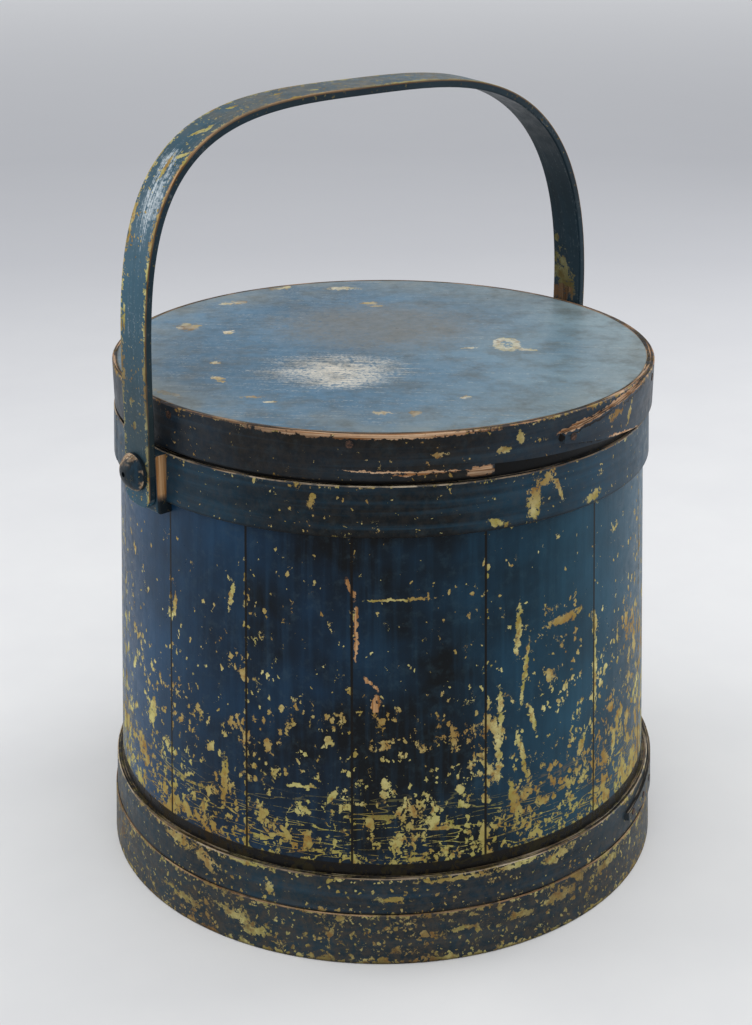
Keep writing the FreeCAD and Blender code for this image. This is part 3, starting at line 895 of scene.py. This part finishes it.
# ---- Lid ----
@dataclass
class Lid:
    """Round lid board, scuffed and marked with stains on top, with a painted reflection."""

    # Painted reflection: these coats are paler than the body's, standing in for the pale surround mirrored
    # in the satiny top.
    coats: Coats = Coats(
            top="#4e728d",
            top_dark="#26343d",
            top_pale="#5d7e94",
            under="#b9ac7a",
            under_pale="#e2dccb",
            chalk="#cfc8b8",
        )
    openings: Tuple[Mark, ...] = (
        Mark(-74.7, -104.5, 7.0, 2.5), Mark(-64.0, -113.5, 4.0, 1.4),
        Mark(-4.5, 97.0, 5.0, 2.6, 10.0), Mark(-103.0, -36.0, 4.0, 3.0),
        Mark(-98.0, -70.0, 3.0, 6.0, 30.0), Mark(54.7, -5.4, 5.5, 2.0, 4.0),
        Mark(91.0, -9.0, 6.0, 3.4, -20.0), Mark(-73.0, 146.0, 9.0, 5.0, 20.0),
        Mark(-28.0, 145.0, 11.0, 5.0), Mark(-100.0, 32.0, 4.0, 5.0),
        Mark(-102.0, 106.0, 9.0, 4.0, 20.0), Mark(-128.0, 45.0, 7.0, 9.0, 30.0),
        Mark(-8.0, 104.0, 6.0, 3.0), Mark(19.0, -134.0, 3.0, 5.0), Mark(0.0, -133.0, 5.0, 3.0),
        Mark(49.0, -105.0, 4.0, 3.0), Mark(-127.0, -96.0, 12.0, 3.0, -38.0),
    )
    scuffs: Tuple[Mark, ...] = (Mark(-29.0, -52.0, 50.0, 37.0, 6.0), Mark(-24.0, -67.0, 38.0, 26.0, 14.0))
    halo: Tuple[Mark, ...] = (Mark(-2.0, 45.0, 74.0, 60.0),)

    def dress_board(self) -> bpy.types.Material:
        """Dress the lid board and return its material."""
        low, high = (corner.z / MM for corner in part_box("lid_board"))
        paint = OldPaint("oil_paint_brushed_on_lid_board", self.coats, Grain.ACROSS, 5.0)
        tree = paint.tree
        paint.thin(-0.09)
        paint.flecks = 0.18
        paint.brush = 0.10
        paint.hold = 0.78
        paint.edge(paint.radius, BOARD_RADIUS, -1.0, 12.0, 0.22)
        paint.open_to_undercoat(self.openings, 1.0, 2.2)
        ring = put(
            tree, Kind.MAPPING, paint.ragged_skin, (80.0, 3.0, 0.0), None, (9.0, 16.0, 1.0),
            vector_type="TEXTURE",
        )
        ring = put(tree, Kind.VECTOR, ring, operation="LENGTH", out="Value")
        paint.opened = paint._joined(paint.opened, band(tree, ring, 0.54, 1.0, 0.08))
        nearest = nearest_mark(tree, paint.ragged_skin, self.scuffs, 1.0)
        paint.rub(ramp(tree, nearest, 0.35, 1.2, 1.0, 0.0))
        halo = nearest_mark(tree, paint.ragged_skin, self.halo, 1.0)
        stain = ramp(tree, halo, 0.62, 1.2, 0.55, 0.0)
        rim = ramp(tree, paint.radius, BOARD_RADIUS - 1.0, BOARD_RADIUS - 0.5, 0.0, 1.0)
        paint.darken(rim)
        orbit = put(
            tree,
            Kind.MAPPING,
            put(tree, Kind.COMBINE, paint.arc, paint.radius, 0.0),
            None,
            None,
            (1 / 90.0, 1 / 1.5, 1.0),
        )
        orbit = clouds(tree, orbit, 1.0, 2.0, 0.5)
        outside = ramp(tree, paint.radius, 90.0, 165.0, 0.0, 0.16)
        paint.rub(times(tree, orbit, outside))
        greyed = ramp(tree, paint.radius, 118.0, 160.0, 0.0, 1.0)
        cloud = ramp(tree, paint.patches, 0.38, 0.60, 0.1, 0.75)
        greyed = times(tree, greyed, cloud)
        # Painted reflection: paler and greyer towards the right, standing in for light from the back right
        # mirrored in the top.
        reflection_to_right = ramp(tree, paint.right, -20.0, 150.0, 0.0, 0.62)
        mottle = ramp(tree, paint.patches, 0.34, 0.62, 1.0, 0.55)
        reflection_to_right = times(tree, reflection_to_right, mottle)
        under = ramp(tree, paint.up, high - 1.5, high - 0.5, 1.0, 0.0)
        paint.bare(under)
        material = paint.shade(0.22, 0.1, 0.36)
        slot = base_colour(tree)
        base = slot.links[0].from_socket
        stain_and_reflection = mix(tree, greyed, base, "#747c7a")
        stain_and_reflection = mix(tree, reflection_to_right, stain_and_reflection, "#909f9f")
        dirt = clouds(tree, paint.place, 24.0, 5.0, 0.7)
        dirt = ramp(tree, dirt, 0.46, 0.66, 0.0, 0.55)
        stain_and_reflection = mix(tree, dirt, stain_and_reflection, "#4c4f49")
        stain_and_reflection = mix(tree, stain, stain_and_reflection, "#777369")
        tree.links.new(stain_and_reflection, slot)
        dress("lid_board", material)
        return material


PEG_COATS = Coats(top="#24333d", top_dark="#11161a", wood="#8a6a4c", wood_pale="#b9a58a")


# ---- Bail and its pegs ----
@dataclass
class BailAndPegs:
    """Bent bail on two turned pegs, kept clear of the hoop by two lugs."""

    tilt: float = 4.0  # degrees forward at rest
    reach: float = 3.6  # millimetres along the arch for one degree
    pale: Tuple[Mark, ...] = (Mark(136.5, -2.0, 24.0, 10.0), Mark(131.5, 2.0, 10.0, 9.0))
    openings: Tuple[Mark, ...] = (
        Mark(140.5, 10.0, 11.0, 1.4), Mark(153.5, 8.5, 9.0, 1.2), Mark(162.5, 9.5, 3.0, 1.2),
        Mark(167.0, 3.5, 3.5, 1.2), Mark(171.0, 0.5, 3.0, 1.6), Mark(126.0, -1.0, 5.5, 1.4, 40.0),
        Mark(124.5, -4.5, 3.0, 1.4), Mark(132.0, 0.5, 7.0, 1.5), Mark(130.0, -6.0, 5.0, 1.3, 60.0),
        Mark(119.0, 4.0, 3.0, 1.2, 20.0), Mark(112.0, 2.0, 3.5, 1.4), Mark(106.0, -3.0, 4.0, 1.3),
        Mark(100.0, 3.0, 3.0, 1.6),
    )
    inner_openings: Tuple[Mark, ...] = (Mark(18.0, 3.0, 17.0, 8.5, 20.0), Mark(26.0, 9.0, 2.5, 2.0))
    inner_wood: Tuple[Mark, ...] = (Mark(14.0, 5.0, 7.0, 9.0),)
    coats: Coats = Coats(top="#3a5a70", top_dark="#1b262c", chalk="#b9c3c8")

    def build(self) -> int:
        """Dress the bail, pegs and lugs and return how many there are."""
        paint = OldPaint("oil_paint_brushed_on_bail", self.coats, Grain.ARCH, 5.0)
        tree = paint.tree
        coords = put(tree, Kind.COORDS, out="Object")
        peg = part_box("peg_left")
        middle = Vector((0.0, (peg[0].y + peg[1].y) / 2, (peg[0].z + peg[1].z) / 2))
        local = put(tree, Kind.MAPPING, coords, tuple(-c for c in middle), vector_type="POINT")
        local = put(tree, Kind.MAPPING, local, None, (math.radians(-self.tilt), 0.0, 0.0), (1000.0,) * 3)
        axes = put(tree, Kind.SEPARATE, local)
        across, width, height = axes.node.outputs
        arch = put(tree, Kind.MATH, height, across, operation="ARCTAN2")
        arch = put(tree, Kind.MATH, arch, operation="DEGREES")
        along = times(tree, arch, self.reach)
        paint.use_skin(along, width)
        outward = put(tree, Kind.COMBINE, across, 0.0, height)
        outward = put(tree, Kind.VECTOR, outward, operation="NORMALIZE")
        facing = put(
            tree, Kind.VECTOR, outward, coords.node.outputs["Normal"], operation="DOT_PRODUCT", out="Value"
        )
        outer = ramp(tree, facing, 0.2, 0.6, 0.0, 1.0)
        inner = ramp(tree, facing, -0.2, -0.6, 0.0, 1.0)
        off_edge = put(tree, Kind.MATH, width, operation="ABSOLUTE")
        margin = ramp(tree, off_edge, 8.5, 12.5, 0.0, 0.8)
        paint.thin(times(tree, margin, outer))
        side = ramp(tree, off_edge, 12.0, 12.4, 0.0, 1.0)
        paint.darken(times(tree, side, 0.75))
        worn_front = ramp(tree, width, -10.4, -11.6, 0.0, 1.0)
        worn_front = times(tree, worn_front, outer)
        shoulder = band(tree, arch, 103.0, 134.0, 7.0)
        ragged_front = ramp(tree, paint.clusters, 0.36, 0.5, 0.0, 1.0)
        worn_front = times(tree, worn_front, ragged_front)
        paint.bare(times(tree, worn_front, shoulder))
        nearest = nearest_mark(tree, paint.ragged_skin, self.pale, self.reach)
        pale = ramp(tree, nearest, 0.4, 1.1, 0.8, 0.0)
        paint.rub(times(tree, pale, outer))
        paint.open_to_undercoat(self.openings, self.reach, 0.9, outer)
        paint.open_to_undercoat(self.inner_openings, self.reach, 2.4, inner)
        paint.open_to_wood(self.inner_wood, self.reach, 2.4, inner)
        corner = ramp(tree, off_edge, 11.5, 12.0, 0.0, 1.0)
        round_edge = band(tree, facing, 0.12, 0.55, 0.1)
        paint.bare(times(tree, corner, round_edge))
        paint.thin(0.14)
        paint.flecks = 0.16
        paint.thin(times(tree, inner, -0.4))
        handled = band(tree, arch, 60.0, 120.0, 14.0)
        handled = times(tree, handled, outer)
        paint.thin(times(tree, handled, 0.10))
        paint.darken(times(tree, inner, 0.8))
        material = paint.shade(0.45, 0.35)
        slot = base_colour(tree)
        base = slot.links[0].from_socket
        cloud = ramp(tree, paint.clusters, 0.38, 0.62, 0.15, 0.75)
        cloud = times(tree, cloud, handled)
        greasy = mix(tree, cloud, base, "#59584f")
        legs = ramp(tree, arch, 148.0, 168.0, 0.0, 0.55)
        greasy = mix(tree, legs, greasy, "#303b3c")
        tree.links.new(greasy, slot)
        dress("bail", material)
        for name in ("peg_left", "peg_right"):
            grip = OldPaint("oil_paint_rubbed_on_" + name, PEG_COATS, Grain.UP, 4.0)
            grip.thin(0.16)
            turned = put(grip.tree, Kind.SEPARATE, grip.normal, out="X")
            turned = put(grip.tree, Kind.MATH, turned, operation="ABSOLUTE")
            shoulder = band(grip.tree, turned, 0.35, 0.8, 0.15)
            broken = ramp(grip.tree, grip.clusters, 0.46, 0.56, 0.0, 1.0)
            grip.bare(times(grip.tree, shoulder, broken))
            dress(name, grip.shade(0.75, 0.2))
        for name in ("lug_left", "lug_right"):
            grip = OldPaint("oil_paint_rubbed_on_" + name, self.coats, Grain.UP, 4.0)
            grip.thin(0.18)
            front = put(grip.tree, Kind.SEPARATE, grip.normal, out="Y")
            front = ramp(grip.tree, front, -0.45, -0.75, 0.0, 1.0)
            high = ramp(grip.tree, grip.up, 276.0, 281.0, 0.0, 1.0)
            grip.bare(times(grip.tree, front, high))
            # Painted shadow: the front of the lug is darkened below the upper hoop, where a recess lies
            # between lug and stave.
            foot = ramp(grip.tree, grip.up, 281.0, 276.0, 0.0, 0.85)
            grip.darken(times(grip.tree, front, foot))
            dress(name, grip.shade(0.7, 0.2))
        return 5


@dataclass
class Tacks:
    """Iron tacks of the hoops and the lid."""

    def build(self) -> int:
        """Dress the tacks and return how many groups there are."""
        names = [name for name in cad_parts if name.endswith("_tacks")]
        for name in names:
            dress(name, RustyIron("cut_iron_rusted_" + name).material())
        return len(names)


# ---- Studio ----
@dataclass
class Studio:
    """Pale floor, soft lights and the camera."""

    floor_radius: float = 14.0
    distance: float = 1.0447
    height: float = 0.6436
    pitch: float = 22.0
    roll: float = -0.00251
    yaw: float = 0.00369
    lens: float = 59.77

    def floor(self) -> None:
        """Round floor of pale seamless paper."""
        mesh = bpy.data.meshes.new("studio_floor")
        build = bmesh.new()
        bmesh.ops.create_circle(build, cap_ends=True, segments=96, radius=self.floor_radius)
        build.to_mesh(mesh)
        build.free()
        thing = bpy.data.objects.new("studio_floor", mesh)
        bpy.context.scene.collection.objects.link(thing)
        material, tree = fresh("seamless_paper_matt")
        coords = put(tree, Kind.COORDS, out="Object")
        cloud = put(tree, Kind.NOISE, coords, None, 6.0, 4.0, 0.6)
        share = ramp(tree, cloud, 0.3, 0.7, 0.0, 1.0)
        colour = mix(tree, share, "#dadada", "#e0e0df")
        # Painted shade and light on the floor: darker out from 0.35 m to 1.7 m, and paler again from 2.6 m
        # to 6.5 m.
        away = put(tree, Kind.VECTOR, coords, operation="LENGTH", out="Value")
        dim = ramp(tree, away, 0.35, 1.7, 0.0, 0.85)
        colour = mix(tree, dim, colour, "#bfc0c4")
        bright = ramp(tree, away, 2.6, 6.5, 0.0, 1.0)
        colour = mix(tree, bright, colour, "#eeeeee")
        shader = put(tree, Kind.SHADER, named={"Base Color": colour, "Roughness": 0.85})
        put(tree, Kind.OUTPUT, shader)
        mesh.materials.append(material)

    def lamp(self, name: str, where: Vector, size: float, power: float) -> None:
        """One white square light, of a side in metres and a power in watts, aimed at the pail."""
        light = bpy.data.lights.new(name, "AREA")
        light.shape = "SQUARE"
        light.size = size
        light.energy = power
        thing = bpy.data.objects.new(name, light)
        thing.location = where
        aim = Vector((0.0, 0.0, 0.2)) - where
        thing.rotation_euler = aim.to_track_quat("-Z", "Y").to_euler()
        bpy.context.scene.collection.objects.link(thing)

    def lights(self) -> None:
        """Overhead softbox and two side lights, on a dim pale surround."""
        world = bpy.data.worlds.new("studio_air")
        world.use_nodes = True
        background = world.node_tree.nodes["Background"]
        background.inputs["Color"].default_value = linear("#dcdee2")
        background.inputs["Strength"].default_value = 0.95
        bpy.context.scene.world = world
        turn = Matrix.Rotation(math.radians(-WORN_SIDE), 3, "Z")
        self.lamp("softbox_above", turn @ Vector((0.1, -0.7, 2.4)), 1.8, 18.0)
        self.lamp("softbox_left", turn @ Vector((-1.9, 0.2, 0.9)), 1.2, 15.0)
        self.lamp("softbox_right", turn @ Vector((1.8, 0.9, 0.8)), 1.2, 19.0)

    def camera(self) -> None:
        """Camera in front of the worn side, above the lid and looking down at it."""
        data = bpy.data.cameras.new("studio_camera")
        data.sensor_width = 36.0
        data.sensor_fit = "AUTO"
        data.lens = self.lens
        data.clip_end = 60.0
        thing = bpy.data.objects.new("studio_camera", data)
        bpy.context.scene.collection.objects.link(thing)
        pitch = math.radians(self.pitch)
        ahead = Vector((0.0, math.cos(pitch), -math.sin(pitch)))
        above = Vector((0.0, math.sin(pitch), math.cos(pitch)))
        right = Vector((1.0, 0.0, 0.0))
        level = math.cos(self.roll) * right + math.sin(self.roll) * above
        upright = -math.sin(self.roll) * right + math.cos(self.roll) * above
        turn = math.radians(-WORN_SIDE)
        spin = Matrix.Rotation(turn + self.yaw, 3, "Z")
        axes = Matrix((spin @ level, spin @ upright, spin @ -ahead)).transposed()
        place = Matrix.Rotation(turn, 3, "Z") @ Vector((0.0, -self.distance, self.height))
        thing.matrix_world = Matrix.Translation(place) @ axes.to_4x4()
        bpy.context.scene.camera = thing

    def build(self) -> None:
        """Set up the whole studio."""
        self.camera()
        self.floor()
        self.lights()
        bpy.context.scene.view_settings.view_transform = "Standard"


def main() -> None:
    """Build the studio and every piece."""
    logging.basicConfig(level=logging.INFO, format="%(message)s")
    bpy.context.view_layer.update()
    Studio().build()
    LOG.info("studio set")
    LOG.info("staves dressed: %d", StavedBody().build())
    LOG.info("bottom boards dressed: %d", Bottom().build())
    for hoop in HOOPS:
        hoop.build()
        LOG.info("hoop dressed: %s", hoop.node)
    Lid().dress_board()
    LOG.info("lid board dressed")
    LOG.info("bail pieces dressed: %d", BailAndPegs().build())
    LOG.info("tack groups dressed: %d", Tacks().build())


if __name__ == "__main__":
    main()
